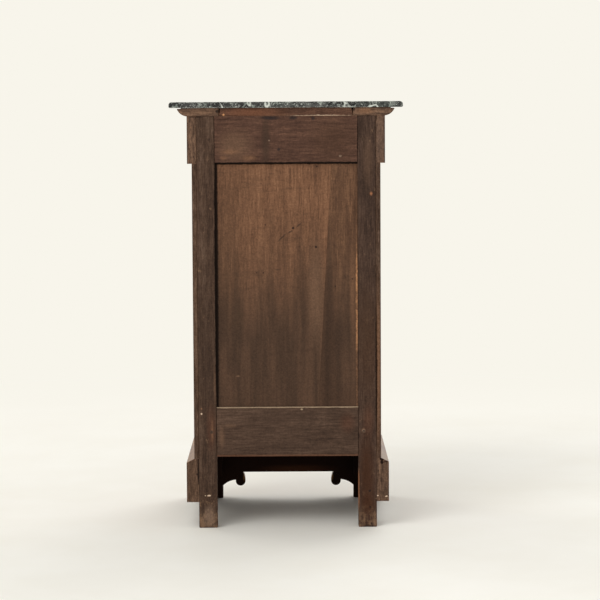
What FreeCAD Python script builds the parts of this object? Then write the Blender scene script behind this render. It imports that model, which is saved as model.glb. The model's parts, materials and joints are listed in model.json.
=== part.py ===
import FreeCAD, Part
import math
import os

# Bedside cabinet with a marble top: posts clad with boards, a pegged frame-and-panel back,
# a full-width frieze drawer with dovetailed corners, one hung door with a turn latch,
# and a mitred plinth whose front feet carry scroll brackets.
# Millimetres, +Z up, front towards -Y, right is +X.
# The origin is on the floor, under the middle of the marble.

# Overall sizes
TOTAL_HEIGHT = 768.0
BODY_WIDTH = 337.5
BODY_DEPTH = 329.0

# Marble top, rounded along the front and both sides
MARBLE_THICKNESS = 10.5
MARBLE_OVERHANG = 15.0
MARBLE_REAR_OVERHANG = 2.0
MARBLE_TOP_ROUND = 5.5
MARBLE_BASE_ROUND = 2.5

# Cornice frame that carries the marble
CORNICE_HEIGHT = 15.0
CORNICE_PROJECTION = 17.0
CORNICE_LIP = 1.0
CORNICE_SAG = 2.85
CORNICE_REBATE_WIDTH = 6.5
CORNICE_REBATE_DEPTH = 1.6
CORNICE_RAIL_WIDTH = 74.0
CORNICE_STRIP_DEPTH = 50.0
CORNICE_STRIP_SETBACK = 2.0
CORNICE_STRIP_SLANT = 3.0

# Frieze round the drawer
FRIEZE_HEIGHT = 84.5
FRIEZE_PROJECTION = 8.25

# Corner posts, rear stiles and the boards that clad them
POST_WIDTH = 34.0
POST_DEPTH = 30.0
POST_BASE = 48.0
STILE_WIDTH = 33.0
STILE_DEPTH = 28.0
STILE_BEVEL = 1.2
FOOT_BEVEL = 1.0
CLADDING_THICKNESS = 8.0

# Mortise and tenon joints of the case
TENON_LENGTH = 24.0
TENON_THICKNESS = 10.0
TENON_SHOULDER = 8.0
MORTISE_END_GAP = 0.8

# Framed back with a panel of two tapered boards
BACK_TOP_RAIL_HEIGHT = 83.5
BACK_BOTTOM_RAIL_HEIGHT = 89.5
BACK_BOTTOM_RAIL_BASE = 130.0
BACK_RAIL_BEVEL = 2.5
BACK_PANEL_THICKNESS = 7.0
BACK_PANEL_SETBACK = 6.0
PANEL_GROOVE_DEPTH = 8.0
PANEL_FACE_GAP = 0.2
PANEL_EDGE_GAP = 0.8
BOARD_JOINT_TOP = -82.0
BOARD_JOINT_BOTTOM = -56.0
PEG_RADIUS = 3.2
PEG_LENGTH = 22.0
PEG_INSET = 9.5
PEG_PROUD = 0.6

# Plinth with scroll brackets
PLINTH_TOP = 126.0
PLINTH_APRON_BASE = 51.0
PLINTH_SIDE_BASE = 47.0
PLINTH_PROJECTION = 14.0
PLINTH_SLOPE_HEIGHT = 7.0
PLINTH_REAR_SETBACK = 1.0
BRACKET_STEP = 24.5
BRACKET_SAG = 2.5
SCROLL_RADIUS = 9.4
SCROLL_REACH = 34.0
SCROLL_RISE = 33.5
SCROLL_START_ANGLE = 13.5
SCROLL_NECK = 4.7
GLUE_BLOCK_SIZE = 16.0
GLUE_BLOCK_LENGTH = 45.0
GLUE_BLOCK_SPACING = 120.0

# Rails across the front and boards inside the case
FRONT_RAIL_HEIGHT = 20.0
DRAWER_RAIL_HEIGHT = 19.5
RAIL_TENON_HEIGHT = 10.0
BOTTOM_THICKNESS = 15.0
SHELF_THICKNESS = 14.0
SHELF_HEIGHT = 215.0
SHELF_FRONT_SETBACK = 13.0
CLEAT_WIDTH = 15.0
CLEAT_HEIGHT = 14.0
RUNNER_THICKNESS = 16.0
RUNNER_BEARING = 14.0
GUIDE_HEIGHT = 20.0

# Frieze drawer
DRAWER_SIDE_GAP = 1.0
DRAWER_SLIDE_GAP = 0.3
DRAWER_REAR_ROOM = 15.0
DRAWER_HEIGHT = 74.0
DRAWER_SIDE_THICKNESS = 10.0
DRAWER_FRONT_THICKNESS = 12.0
DRAWER_BACK_THICKNESS = 10.0
DRAWER_BOTTOM_THICKNESS = 6.0
DRAWER_BOTTOM_RISE = 8.0
DRAWER_GROOVE_DEPTH = 5.0
DRAWER_GROOVE_GAP = 0.2
DRAWER_FACE_GAP = 1.0
DRAWER_FACE_SEAT = 0.3
DRAWER_FACE_BEVEL = 1.5
DOVETAIL_COUNT = 3
DOVETAIL_FLARE = 2.0
DOVETAIL_WIDTH_SHARE = 0.68

# Door, frame and fielded panel
DOOR_GAP = 1.5
DOOR_THICKNESS = 20.0
DOOR_STILE_WIDTH = 45.0
DOOR_TOP_RAIL_HEIGHT = 45.0
DOOR_BOTTOM_RAIL_HEIGHT = 55.0
DOOR_TENON_LENGTH = 28.0
DOOR_TENON_THICKNESS = 7.0
DOOR_TENON_SHOULDER = 9.0
DOOR_GROOVE_DEPTH = 8.0
DOOR_PANEL_TONGUE = 5.0
DOOR_PANEL_FIELD = 5.0
DOOR_PANEL_BEVEL_WIDTH = 22.0
DOOR_STOP_HEIGHT = 8.0
DOOR_STOP_DEPTH = 10.0
DOOR_STOP_LENGTH = 120.0
DOOR_STOP_GAP = 0.3

# Butt hinges
HINGE_HEIGHT = 48.0
HINGE_LEAF_THICKNESS = 1.2
HINGE_LEAF_WIDTH = 18.0
HINGE_KNUCKLE_RADIUS = 3.2
HINGE_KNUCKLE_COUNT = 3
HINGE_KNUCKLE_GAP = 0.3
HINGE_FACE_GAP = 0.2
HINGE_PIN_RADIUS = 1.6
HINGE_PIN_PLAY = 0.05
HINGE_TIP_RADIUS = 2.6
HINGE_TIP_HEIGHT = 2.5
HINGE_HEIGHT_SHARES = (0.17, 0.83)
HINGE_SCREW_COUNT = 3
HINGE_SCREW_DEPTH_SHARE = 0.68
HINGE_SCREW_HEAD_RADIUS = 3.0
HINGE_SCREW_SINK = 1.6
HINGE_SCREW_RADIUS = 1.5
HINGE_SCREW_LENGTH = 14.0
HINGE_SCREW_SLOT_WIDTH = 0.7
HINGE_SCREW_SLOT_DEPTH = 0.6

# Turned knobs and the turn latch
KNOB_BASE_RADIUS = 8.5
KNOB_BASE_HEIGHT = 2.5
KNOB_NECK_RADIUS = 4.5
KNOB_NECK_HEIGHT = 7.0
KNOB_SHOULDER_HEIGHT = 2.0
KNOB_FLARE_HEIGHT = 4.0
KNOB_HEAD_RADIUS = 11.5
KNOB_RIM_HEIGHT = 3.0
KNOB_BEVEL_HEIGHT = 2.5
KNOB_DOME_WIDTH = 18.0
KNOB_DOME_HEIGHT = 3.0
KNOB_SPIGOT_RADIUS = 3.5
KNOB_SPIGOT_LENGTH = 10.0
KNOB_FIT = 0.05
KNOB_FACE_GAP = 0.3
LATCH_HEIGHT_SHARE = 0.5
LATCH_SPINDLE_RADIUS = 4.0
LATCH_SPINDLE_PLAY = 0.05
LATCH_END_RADIUS = 3.0
LATCH_END_HEIGHT = 1.5
LATCH_KNOB_DEPTH = 8.0
TONGUE_LENGTH = 32.0
TONGUE_WIDTH = 12.0
TONGUE_THICKNESS = 4.0
TONGUE_GAP = 0.4
KEEP_DEPTH = 10.0
KEEP_CLEARANCE = 1.0

# Length by which a cutting tool passes the face it opens
OVERRUN = 1.0

# Planes across the width, from the middle outwards
half_body = BODY_WIDTH / 2
half_case = half_body - CLADDING_THICKNESS
half_opening = half_case - POST_WIDTH
back_opening = half_case - STILE_WIDTH
half_frieze = half_body + FRIEZE_PROJECTION
half_cornice = half_frieze + CORNICE_PROJECTION
half_marble = half_cornice + MARBLE_OVERHANG
half_plinth = half_body + PLINTH_PROJECTION
plinth_thickness = CLADDING_THICKNESS + PLINTH_PROJECTION

# Planes through the depth
front_projection = FRIEZE_PROJECTION + CORNICE_PROJECTION + MARBLE_OVERHANG
marble_depth = BODY_DEPTH + front_projection + MARBLE_REAR_OVERHANG
marble_back = marble_depth / 2
marble_front = marble_back - marble_depth
back_face = marble_back - MARBLE_REAR_OVERHANG
stile_front = back_face - STILE_DEPTH
body_front = back_face - BODY_DEPTH
case_front = body_front + CLADDING_THICKNESS
post_rear = case_front + POST_DEPTH
frieze_front = body_front - FRIEZE_PROJECTION
cornice_front = frieze_front - CORNICE_PROJECTION
plinth_front = body_front - PLINTH_PROJECTION
plinth_rear = back_face - PLINTH_REAR_SETBACK

# Heights
marble_base = TOTAL_HEIGHT - MARBLE_THICKNESS
frieze_top = marble_base - CORNICE_HEIGHT
frieze_base = frieze_top - FRIEZE_HEIGHT
back_top_rail_base = frieze_top - BACK_TOP_RAIL_HEIGHT
back_bottom_rail_top = BACK_BOTTOM_RAIL_BASE + BACK_BOTTOM_RAIL_HEIGHT
cabinet_floor = PLINTH_TOP + FRONT_RAIL_HEIGHT
door_head = frieze_base - DRAWER_RAIL_HEIGHT

# Rails: height spans, low and high, and the tenons' cheeks
back_rail_spans = ((BACK_BOTTOM_RAIL_BASE, back_bottom_rail_top), (back_top_rail_base, frieze_top))
back_tenon_middle = (stile_front + back_face) / 2
back_tenon_y = (back_tenon_middle - TENON_THICKNESS / 2, back_tenon_middle + TENON_THICKNESS / 2)
front_rail_spans = ((PLINTH_TOP, cabinet_floor), (door_head, frieze_base))
front_tenon_middle = (case_front + post_rear) / 2
front_tenon_y = (front_tenon_middle - TENON_THICKNESS / 2, front_tenon_middle + TENON_THICKNESS / 2)

# Back panel between its grooves
back_panel_y = (back_face - BACK_PANEL_SETBACK - BACK_PANEL_THICKNESS, back_face - BACK_PANEL_SETBACK)
back_groove_y = (back_panel_y[0] - PANEL_FACE_GAP, back_panel_y[1] + PANEL_FACE_GAP)
back_groove_x = back_opening + PANEL_GROOVE_DEPTH
back_groove_z = (back_bottom_rail_top - PANEL_GROOVE_DEPTH, back_top_rail_base + PANEL_GROOVE_DEPTH)

# Drawer box
drawer_outer = half_opening - DRAWER_SIDE_GAP
drawer_inner = drawer_outer - DRAWER_SIDE_THICKNESS
drawer_base = frieze_base + DRAWER_SLIDE_GAP
drawer_top = drawer_base + DRAWER_HEIGHT
drawer_box_front = case_front - DRAWER_FACE_SEAT
drawer_front_inside = drawer_box_front + DRAWER_FRONT_THICKNESS
drawer_box_rear = stile_front - DRAWER_REAR_ROOM
drawer_back_inside = drawer_box_rear - DRAWER_BACK_THICKNESS
drawer_bottom_base = drawer_base + DRAWER_BOTTOM_RISE
drawer_bottom_top = drawer_bottom_base + DRAWER_BOTTOM_THICKNESS
drawer_groove_z = (drawer_bottom_base - DRAWER_GROOVE_GAP, drawer_bottom_top + DRAWER_GROOVE_GAP)
drawer_face_z = (frieze_base + DRAWER_FACE_GAP, frieze_top - DRAWER_FACE_GAP)

# Door
door_half = half_opening - DOOR_GAP
door_z = (cabinet_floor + DOOR_GAP, door_head - DOOR_GAP)
door_height = door_z[1] - door_z[0]
door_y = (body_front, body_front + DOOR_THICKNESS)
door_middle_y = body_front + DOOR_THICKNESS / 2
door_inner = door_half - DOOR_STILE_WIDTH
door_panel_z = (door_z[0] + DOOR_BOTTOM_RAIL_HEIGHT, door_z[1] - DOOR_TOP_RAIL_HEIGHT)
door_tongue_y = (door_middle_y - DOOR_PANEL_TONGUE / 2, door_middle_y + DOOR_PANEL_TONGUE / 2)
door_groove_y = (door_tongue_y[0] - PANEL_FACE_GAP, door_tongue_y[1] + PANEL_FACE_GAP)
door_groove_z = (door_panel_z[0] - DOOR_GROOVE_DEPTH, door_panel_z[1] + DOOR_GROOVE_DEPTH)
door_tenon_y = (door_middle_y - DOOR_TENON_THICKNESS / 2, door_middle_y + DOOR_TENON_THICKNESS / 2)
hinge_x = half_opening - DOOR_GAP / 2
hinge_y = body_front - HINGE_KNUCKLE_RADIUS - HINGE_FACE_GAP
hinge_leaf_rear = body_front + HINGE_LEAF_WIDTH
latch_x = -(door_half - DOOR_STILE_WIDTH / 2)
latch_z = door_z[0] + door_height * LATCH_HEIGHT_SHARE
tongue_y = (door_y[1] + TONGUE_GAP, door_y[1] + TONGUE_GAP + TONGUE_THICKNESS)


def vec(x, y, z):
    return FreeCAD.Vector(x, y, z)


def block(x_span, y_span, z_span):
    """Box between three (low, high) spans."""
    size = [span[1] - span[0] for span in (x_span, y_span, z_span)]
    return Part.makeBox(*size, vec(x_span[0], y_span[0], z_span[0]))


def prism(points, direction):
    """Straight solid on a closed outline of points."""
    return Part.Face(Part.makePolygon(points + points[:1])).extrude(direction)


def joined(*shapes):
    """One clean solid from shapes that touch or overlap."""
    return shapes[0].fuse(list(shapes[1:])).removeSplitter()


def mirrored(shape):
    """The same piece on the other side of the cabinet."""
    return shape.mirror(vec(0, 0, 0), vec(1, 0, 0))


def rod(radius, start, axis, length):
    return Part.makeCylinder(radius, length, start, axis)


def rectangle_wire(x_span, z_span, y):
    corners = [vec(x_span[0], y, z_span[0]), vec(x_span[1], y, z_span[0]),
               vec(x_span[1], y, z_span[1]), vec(x_span[0], y, z_span[1])]
    return Part.makePolygon(corners + corners[:1])


def mitre_footprint(half_width, front, depth, z_span):
    """Plan of a front member whose ends are mitred to its side members."""
    height = vec(0, 0, z_span[1] - z_span[0])
    corners = [vec(-half_width, front, z_span[0]), vec(half_width, front, z_span[0]),
               vec(half_width - depth, front + depth, z_span[0]),
               vec(-half_width + depth, front + depth, z_span[0])]
    return prism(corners, height)


def marble_top():
    """Slab with a square rear edge; its other three edges are rounded, more at the top than below."""
    slab = block((-half_marble, half_marble), (marble_front, marble_back), (marble_base, TOTAL_HEIGHT))
    for height, radius in ((TOTAL_HEIGHT, MARBLE_TOP_ROUND), (marble_base, MARBLE_BASE_ROUND)):
        rims = [edge for edge in slab.Edges
                if abs(edge.BoundBox.ZMin - height) < OVERRUN and abs(edge.BoundBox.ZMax - height) < OVERRUN]
        slab = slab.makeFillet(radius, [edge for edge in rims if edge.BoundBox.YMin < marble_back - OVERRUN])
    return slab


def cornice_section(place):
    """Rail section with a convex moulding, whose top is rebated so that it clears the marble.

    place maps (inset, height) to a point.
    """
    moulding_top = CORNICE_HEIGHT - CORNICE_REBATE_DEPTH
    lip_base = moulding_top - CORNICE_LIP
    chord = math.hypot(CORNICE_PROJECTION, lip_base)
    belly = place(CORNICE_PROJECTION / 2 - CORNICE_SAG * lip_base / chord,
                  lip_base / 2 - CORNICE_SAG * CORNICE_PROJECTION / chord)
    tip = place(0, lip_base)
    toe = place(CORNICE_PROJECTION, 0)
    rest = [toe, place(CORNICE_RAIL_WIDTH, 0), place(CORNICE_RAIL_WIDTH, CORNICE_HEIGHT),
            place(CORNICE_REBATE_WIDTH, CORNICE_HEIGHT), place(CORNICE_REBATE_WIDTH, moulding_top),
            place(0, moulding_top), tip]
    arc = Part.Arc(tip, belly, toe).toShape()
    return Part.Face(Part.Wire([arc] + Part.makePolygon(rest).Edges))


def cornice():
    footprint = mitre_footprint(half_cornice, cornice_front, CORNICE_RAIL_WIDTH, (frieze_top, marble_base))

    def on_front(inset, height):
        return vec(-half_cornice, cornice_front + inset, frieze_top + height)

    def on_side(inset, height):
        return vec(half_cornice - inset, cornice_front, frieze_top + height)

    front = cornice_section(on_front)
    right = cornice_section(on_side).extrude(vec(0, back_face - cornice_front, 0)).cut(footprint)
    inner = half_cornice - CORNICE_RAIL_WIDTH
    strip_back = back_face - CORNICE_STRIP_SETBACK
    strip = prism([vec(-inner, strip_back, frieze_top), vec(inner, strip_back, frieze_top),
                   vec(inner - CORNICE_STRIP_SLANT, strip_back, marble_base),
                   vec(-inner + CORNICE_STRIP_SLANT, strip_back, marble_base)],
                  vec(0, -CORNICE_STRIP_DEPTH, 0))
    return {
        "cornice_front": front.extrude(vec(half_cornice * 2, 0, 0)).common(footprint),
        "cornice_right": right,
        "cornice_left": mirrored(right),
        "cornice_rear_strip": strip,
    }


def frieze_sides():
    right = block((half_case, half_frieze), (case_front, back_face), (frieze_base, frieze_top))
    return {"frieze_side_right": right, "frieze_side_left": mirrored(right)}


def cladding():
    """Side panels, and the pilaster facings that cover the posts' fronts."""
    height = (PLINTH_TOP, frieze_base)
    panel = block((half_case, half_body), (case_front, back_face), height)
    facing = block((half_opening, half_body), (body_front, case_front), height)
    facing = facing.cut(hinge_pockets(half_opening, HINGE_LEAF_THICKNESS))
    plain_facing = mirrored(block((half_opening, half_body), (body_front, case_front), height))
    return {
        "side_panel_right": panel,
        "side_panel_left": mirrored(panel),
        "front_facing_right": facing,
        "front_facing_left": plain_facing,
    }


def back_tenon_z(rail_z):
    """Height span of a back rail's tenon, shouldered at both edges."""
    return (rail_z[0] + TENON_SHOULDER, rail_z[1] - TENON_SHOULDER)


def front_tenon_z(rail_z):
    """Height span of a front rail's tenon, in the middle of the rail."""
    middle = sum(rail_z) / 2
    return (middle - RAIL_TENON_HEIGHT / 2, middle + RAIL_TENON_HEIGHT / 2)


def peg_places():
    """Centres of the pegs, one through each tenon of the back."""
    places = []
    for rail_z in back_rail_spans:
        for side in (-1, 1):
            places.append(vec(side * (back_opening + PEG_INSET), back_face + PEG_PROUD, sum(rail_z) / 2))
    return places


def back_pegs():
    inward = vec(0, -1, 0)
    return [rod(PEG_RADIUS, place, inward, PEG_LENGTH) for place in peg_places()]


def rear_stile():
    """Stile and leg in one, from the floor to the cornice, with its long rear edges eased."""
    outline = [vec(back_opening, stile_front, 0), vec(half_case, stile_front, 0),
               vec(half_case, back_face - STILE_BEVEL, 0), vec(half_case - STILE_BEVEL, back_face, 0),
               vec(back_opening + STILE_BEVEL, back_face, 0), vec(back_opening, back_face - STILE_BEVEL, 0)]
    stile = prism(outline, vec(0, 0, frieze_top))
    floor_edges = [edge for edge in stile.Edges if edge.BoundBox.ZMax < OVERRUN]
    stile = stile.makeChamfer(FOOT_BEVEL, floor_edges)
    mortise_x = (back_opening - OVERRUN, back_opening + TENON_LENGTH + MORTISE_END_GAP)
    cuts = [block(mortise_x, back_tenon_y, back_tenon_z(rail_z)) for rail_z in back_rail_spans]
    cuts.append(block((back_opening - OVERRUN, back_groove_x), back_groove_y, back_groove_z))
    return stile.cut(cuts + back_pegs())


def rear_stiles():
    right = rear_stile()
    return {"rear_stile_right": right, "rear_stile_left": mirrored(right)}


def back_rail(rail_z, groove_z, section):
    """Rail of the given section, with tenons at both ends and a groove for the panel."""
    body = prism(section, vec(back_opening * 2, 0, 0))
    reach = back_opening + TENON_LENGTH
    tenon = block((-reach, reach), back_tenon_y, back_tenon_z(rail_z))
    groove = block((-back_opening - OVERRUN, back_opening + OVERRUN), back_groove_y, groove_z)
    return joined(body, tenon).cut([groove] + back_pegs())


def back_rails():
    low, high = back_rail_spans
    low_section = [vec(-back_opening, stile_front, low[0]), vec(-back_opening, back_face, low[0]),
                   vec(-back_opening, back_face, low[1] - BACK_RAIL_BEVEL),
                   vec(-back_opening, back_face - BACK_RAIL_BEVEL, low[1]),
                   vec(-back_opening, stile_front, low[1])]
    high_section = [vec(-back_opening, stile_front, high[0]), vec(-back_opening, back_face, high[0]),
                    vec(-back_opening, back_face, high[1]), vec(-back_opening, stile_front, high[1])]
    return {
        "back_bottom_rail": back_rail(low, (back_groove_z[0], low[1] + OVERRUN), low_section),
        "back_top_rail": back_rail(high, (high[0] - OVERRUN, back_groove_z[1]), high_section),
    }


def back_panel_board(edge):
    """Board from one groove to the slanted joint; edge is its outer side."""
    low = back_groove_z[0] + PANEL_EDGE_GAP
    high = back_groove_z[1] - PANEL_EDGE_GAP
    points = [vec(edge, back_panel_y[0], low), vec(BOARD_JOINT_BOTTOM, back_panel_y[0], low),
              vec(BOARD_JOINT_TOP, back_panel_y[0], high), vec(edge, back_panel_y[0], high)]
    return prism(points, vec(0, BACK_PANEL_THICKNESS, 0))


def back_panel():
    edge = back_groove_x - PANEL_EDGE_GAP
    return {
        "back_panel_wide_board": back_panel_board(edge),
        "back_panel_narrow_board": back_panel_board(-edge),
    }


def front_post():
    """Straight post from behind the plinth to the cornice, with mortises for the two front rails."""
    post = block((half_opening, half_case), (case_front, post_rear), (POST_BASE, frieze_top))
    mortise_x = (half_opening - OVERRUN, half_opening + TENON_LENGTH + MORTISE_END_GAP)
    return post.cut([block(mortise_x, front_tenon_y, front_tenon_z(rail_z)) for rail_z in front_rail_spans])


def front_posts():
    plain = front_post()
    sweep = math.sqrt(TONGUE_LENGTH ** 2 - (half_opening + latch_x) ** 2)
    keep_margin = TONGUE_WIDTH / 2 + KEEP_CLEARANCE
    keep_z = (latch_z - keep_margin, latch_z + sweep + keep_margin)
    keep_y = (tongue_y[0] - KEEP_CLEARANCE, tongue_y[1] + KEEP_CLEARANCE)
    keep = block((-half_opening - KEEP_DEPTH, -half_opening + OVERRUN), keep_y, keep_z)
    return {
        "front_post_right": plain.cut(hinge_pockets(half_opening, HINGE_LEAF_THICKNESS) + case_screws()),
        "front_post_left": mirrored(plain).cut(keep),
    }


def front_rail(rail_z):
    body = block((-half_opening, half_opening), (body_front, post_rear), rail_z)
    reach = half_opening + TENON_LENGTH
    return joined(body, block((-reach, reach), front_tenon_y, front_tenon_z(rail_z)))


def front_rails():
    low, high = front_rail_spans
    return {"front_bottom_rail": front_rail(low), "drawer_rail": front_rail(high)}


def bracket_edges(place, base):
    """Outline from the floor at the foot's inner edge to the plinth's underside at height base.

    place maps (distance from the foot, height) to a point.
    """
    start_angle = math.radians(SCROLL_START_ANGLE)
    cove_end = (SCROLL_REACH - SCROLL_RADIUS * math.cos(start_angle),
                SCROLL_RISE + SCROLL_RADIUS * math.sin(start_angle))
    chord = (cove_end[0], cove_end[1] - BRACKET_STEP)
    chord_length = math.hypot(*chord)
    cove_middle = (chord[0] / 2 - BRACKET_SAG * chord[1] / chord_length,
                   BRACKET_STEP + chord[1] / 2 + BRACKET_SAG * chord[0] / chord_length)
    scroll_low = (SCROLL_REACH, SCROLL_RISE - SCROLL_RADIUS)
    scroll_end = (SCROLL_REACH + SCROLL_RADIUS, SCROLL_RISE)
    neck_height = base - SCROLL_RISE
    neck_radius = (SCROLL_NECK ** 2 + neck_height ** 2) / (2 * SCROLL_NECK)
    half_angle = math.asin(neck_height / neck_radius) / 2
    neck_middle = (scroll_end[0] - neck_radius * (1 - math.cos(half_angle)),
                   SCROLL_RISE + neck_radius * math.sin(half_angle))
    neck_end = (scroll_end[0] - SCROLL_NECK, base)
    arcs = (((0, BRACKET_STEP), cove_middle, cove_end), (cove_end, scroll_low, scroll_end),
            (scroll_end, neck_middle, neck_end))
    edges = [Part.makeLine(place(0, 0), place(0, BRACKET_STEP))]
    edges += [Part.Arc(*[place(*point) for point in arc]).toShape() for arc in arcs]
    return edges, place(*neck_end)


def plinth_section(place):
    """Sloped-top section of the plinth; place maps (inset, height) to a point."""
    return [place(0, 0), place(plinth_thickness, 0), place(plinth_thickness, PLINTH_TOP),
            place(PLINTH_PROJECTION, PLINTH_TOP), place(0, PLINTH_TOP - PLINTH_SLOPE_HEIGHT)]


def plinth_front_board(footprint):
    y = plinth_front
    base = PLINTH_APRON_BASE
    right_edges, right_neck = bracket_edges(lambda reach, height: vec(half_opening - reach, y, height), base)
    left_edges, left_neck = bracket_edges(lambda reach, height: vec(reach - half_opening, y, height), base)
    outer = [vec(-half_opening, y, 0), vec(-half_plinth, y, 0), vec(-half_plinth, y, PLINTH_TOP),
             vec(half_plinth, y, PLINTH_TOP), vec(half_plinth, y, 0), vec(half_opening, y, 0)]
    edges = right_edges + left_edges + Part.makePolygon(outer).Edges + [Part.makeLine(right_neck, left_neck)]
    board = Part.Face(Part.Wire(Part.sortEdges(edges)[0])).extrude(vec(0, plinth_thickness, 0))
    section = plinth_section(lambda inset, height: vec(-half_plinth, plinth_front + inset, height))
    return board.common(prism(section, vec(half_plinth * 2, 0, 0))).common(footprint)


def plinth_side_board(footprint):
    x = half_case
    edges, neck = bracket_edges(lambda reach, height: vec(x, post_rear + reach, height), PLINTH_SIDE_BASE)
    outer = [neck, vec(x, plinth_rear, PLINTH_SIDE_BASE), vec(x, plinth_rear, PLINTH_TOP),
             vec(x, plinth_front, PLINTH_TOP), vec(x, plinth_front, 0), vec(x, post_rear, 0)]
    edges += Part.makePolygon(outer).Edges
    board = Part.Face(Part.Wire(Part.sortEdges(edges)[0])).extrude(vec(plinth_thickness, 0, 0))
    section = plinth_section(lambda inset, height: vec(half_plinth - inset, plinth_front, height))
    return board.common(prism(section, vec(0, plinth_rear - plinth_front, 0))).cut(footprint)


def plinth():
    footprint = mitre_footprint(half_plinth, plinth_front, plinth_thickness, (0, PLINTH_TOP))
    right = plinth_side_board(footprint)
    blocks = []
    for side in (-1, 1):
        start = (side * GLUE_BLOCK_SPACING - GLUE_BLOCK_LENGTH) / 2
        corner = [vec(start, case_front, PLINTH_TOP), vec(start, case_front + GLUE_BLOCK_SIZE, PLINTH_TOP),
                  vec(start, case_front, PLINTH_TOP - GLUE_BLOCK_SIZE)]
        blocks.append(prism(corner, vec(GLUE_BLOCK_LENGTH, 0, 0)))
    return {
        "plinth_front": plinth_front_board(footprint),
        "plinth_right": right,
        "plinth_left": mirrored(right),
        "plinth_glue_blocks": Part.makeCompound(blocks),
    }


def inside_boards():
    """Floor, shelf and the cleats, runners and guides on both sides."""
    inside_y = (post_rear, stile_front)
    shelf_top = cabinet_floor + SHELF_HEIGHT
    shelf_base = shelf_top - SHELF_THICKNESS
    floor_base = cabinet_floor - BOTTOM_THICKNESS
    cleat_x = (half_case - CLEAT_WIDTH, half_case)
    runner_x = (half_opening - RUNNER_BEARING, half_case)
    pieces = {
        "bottom_board": block((-half_case, half_case), inside_y, (floor_base, cabinet_floor)),
        "shelf": block((-half_case, half_case), (post_rear + SHELF_FRONT_SETBACK, stile_front),
                       (shelf_base, shelf_top)),
    }
    sided = {
        "bottom_cleat": block(cleat_x, inside_y, (floor_base - CLEAT_HEIGHT, floor_base)),
        "shelf_cleat": block(cleat_x, inside_y, (shelf_base - CLEAT_HEIGHT, shelf_base)),
        "drawer_runner": block(runner_x, inside_y, (frieze_base - RUNNER_THICKNESS, frieze_base)),
        "drawer_guide": block((half_opening, half_case), inside_y,
                              (frieze_base, frieze_base + GUIDE_HEIGHT)),
    }
    for name, right in sided.items():
        pieces[name + "_right"] = right
        pieces[name + "_left"] = mirrored(right)
    return pieces


def tails(x_span, z_span, shoulder_y, end_y):
    """Dovetails on a drawer side's end, widening from the shoulder to the end."""
    pitch = (z_span[1] - z_span[0]) / DOVETAIL_COUNT
    wide = pitch * DOVETAIL_WIDTH_SHARE
    narrow = wide - DOVETAIL_FLARE * 2
    solids = []
    for number in range(DOVETAIL_COUNT):
        middle = z_span[0] + pitch * (number + 0.5)
        outline = [vec(x_span[0], shoulder_y, middle - narrow / 2), vec(x_span[0], end_y, middle - wide / 2),
                   vec(x_span[0], end_y, middle + wide / 2), vec(x_span[0], shoulder_y, middle + narrow / 2)]
        solids.append(prism(outline, vec(x_span[1] - x_span[0], 0, 0)))
    return solids


def drawer_box():
    side_x = (drawer_inner, drawer_outer)
    back_z = (drawer_bottom_top, drawer_top)
    front_tails = tails(side_x, (drawer_base, drawer_top), drawer_front_inside, drawer_box_front)
    back_tails = tails(side_x, back_z, drawer_back_inside, drawer_box_rear)
    middle = block(side_x, (drawer_front_inside, drawer_back_inside), (drawer_base, drawer_top))
    heel = block(side_x, (drawer_back_inside, drawer_box_rear), (drawer_base, drawer_bottom_top))
    groove_x = (drawer_inner - OVERRUN, drawer_inner + DRAWER_GROOVE_DEPTH)
    side_groove = block(groove_x, (drawer_front_inside, drawer_box_rear + OVERRUN), drawer_groove_z)
    right = joined(middle, heel, *front_tails, *back_tails).cut(side_groove)
    across = (-drawer_outer, drawer_outer)
    front = block(across, (drawer_box_front, drawer_front_inside), (drawer_base, drawer_top))
    front_groove = block((-drawer_inner, drawer_inner),
                         (drawer_front_inside - DRAWER_GROOVE_DEPTH, drawer_front_inside + OVERRUN),
                         drawer_groove_z)
    back = block(across, (drawer_back_inside, drawer_box_rear), back_z)
    bottom_half = drawer_inner + DRAWER_GROOVE_DEPTH - DRAWER_GROOVE_GAP
    bottom_inset = DRAWER_GROOVE_DEPTH - DRAWER_GROOVE_GAP
    bottom = joined(
        block((-bottom_half, bottom_half), (drawer_front_inside, drawer_box_rear),
              (drawer_bottom_base, drawer_bottom_top)),
        block((-drawer_inner, drawer_inner), (drawer_front_inside - bottom_inset, drawer_front_inside),
              (drawer_bottom_base, drawer_bottom_top)))
    both = [mirrored(tail) for tail in front_tails] + front_tails
    both_back = [mirrored(tail) for tail in back_tails] + back_tails
    return {
        "drawer_side_right": right,
        "drawer_side_left": mirrored(right),
        "drawer_inner_front": front.cut(both + [front_groove]),
        "drawer_back": back.cut(both_back),
        "drawer_bottom": bottom,
    }


def drawer_face():
    """Full-width frieze front, fixed to the dovetailed box, with its front edges bevelled."""
    face = block((-half_frieze, half_frieze), (frieze_front, drawer_box_front), drawer_face_z)
    front_edges = [edge for edge in face.Edges if edge.BoundBox.YMax < frieze_front + OVERRUN]
    face = face.makeChamfer(DRAWER_FACE_BEVEL, front_edges)
    hole = rod(KNOB_SPIGOT_RADIUS + KNOB_FIT, vec(0, frieze_front - OVERRUN, sum(drawer_face_z) / 2),
               vec(0, 1, 0), KNOB_SPIGOT_LENGTH + OVERRUN)
    return face.cut(hole)


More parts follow.
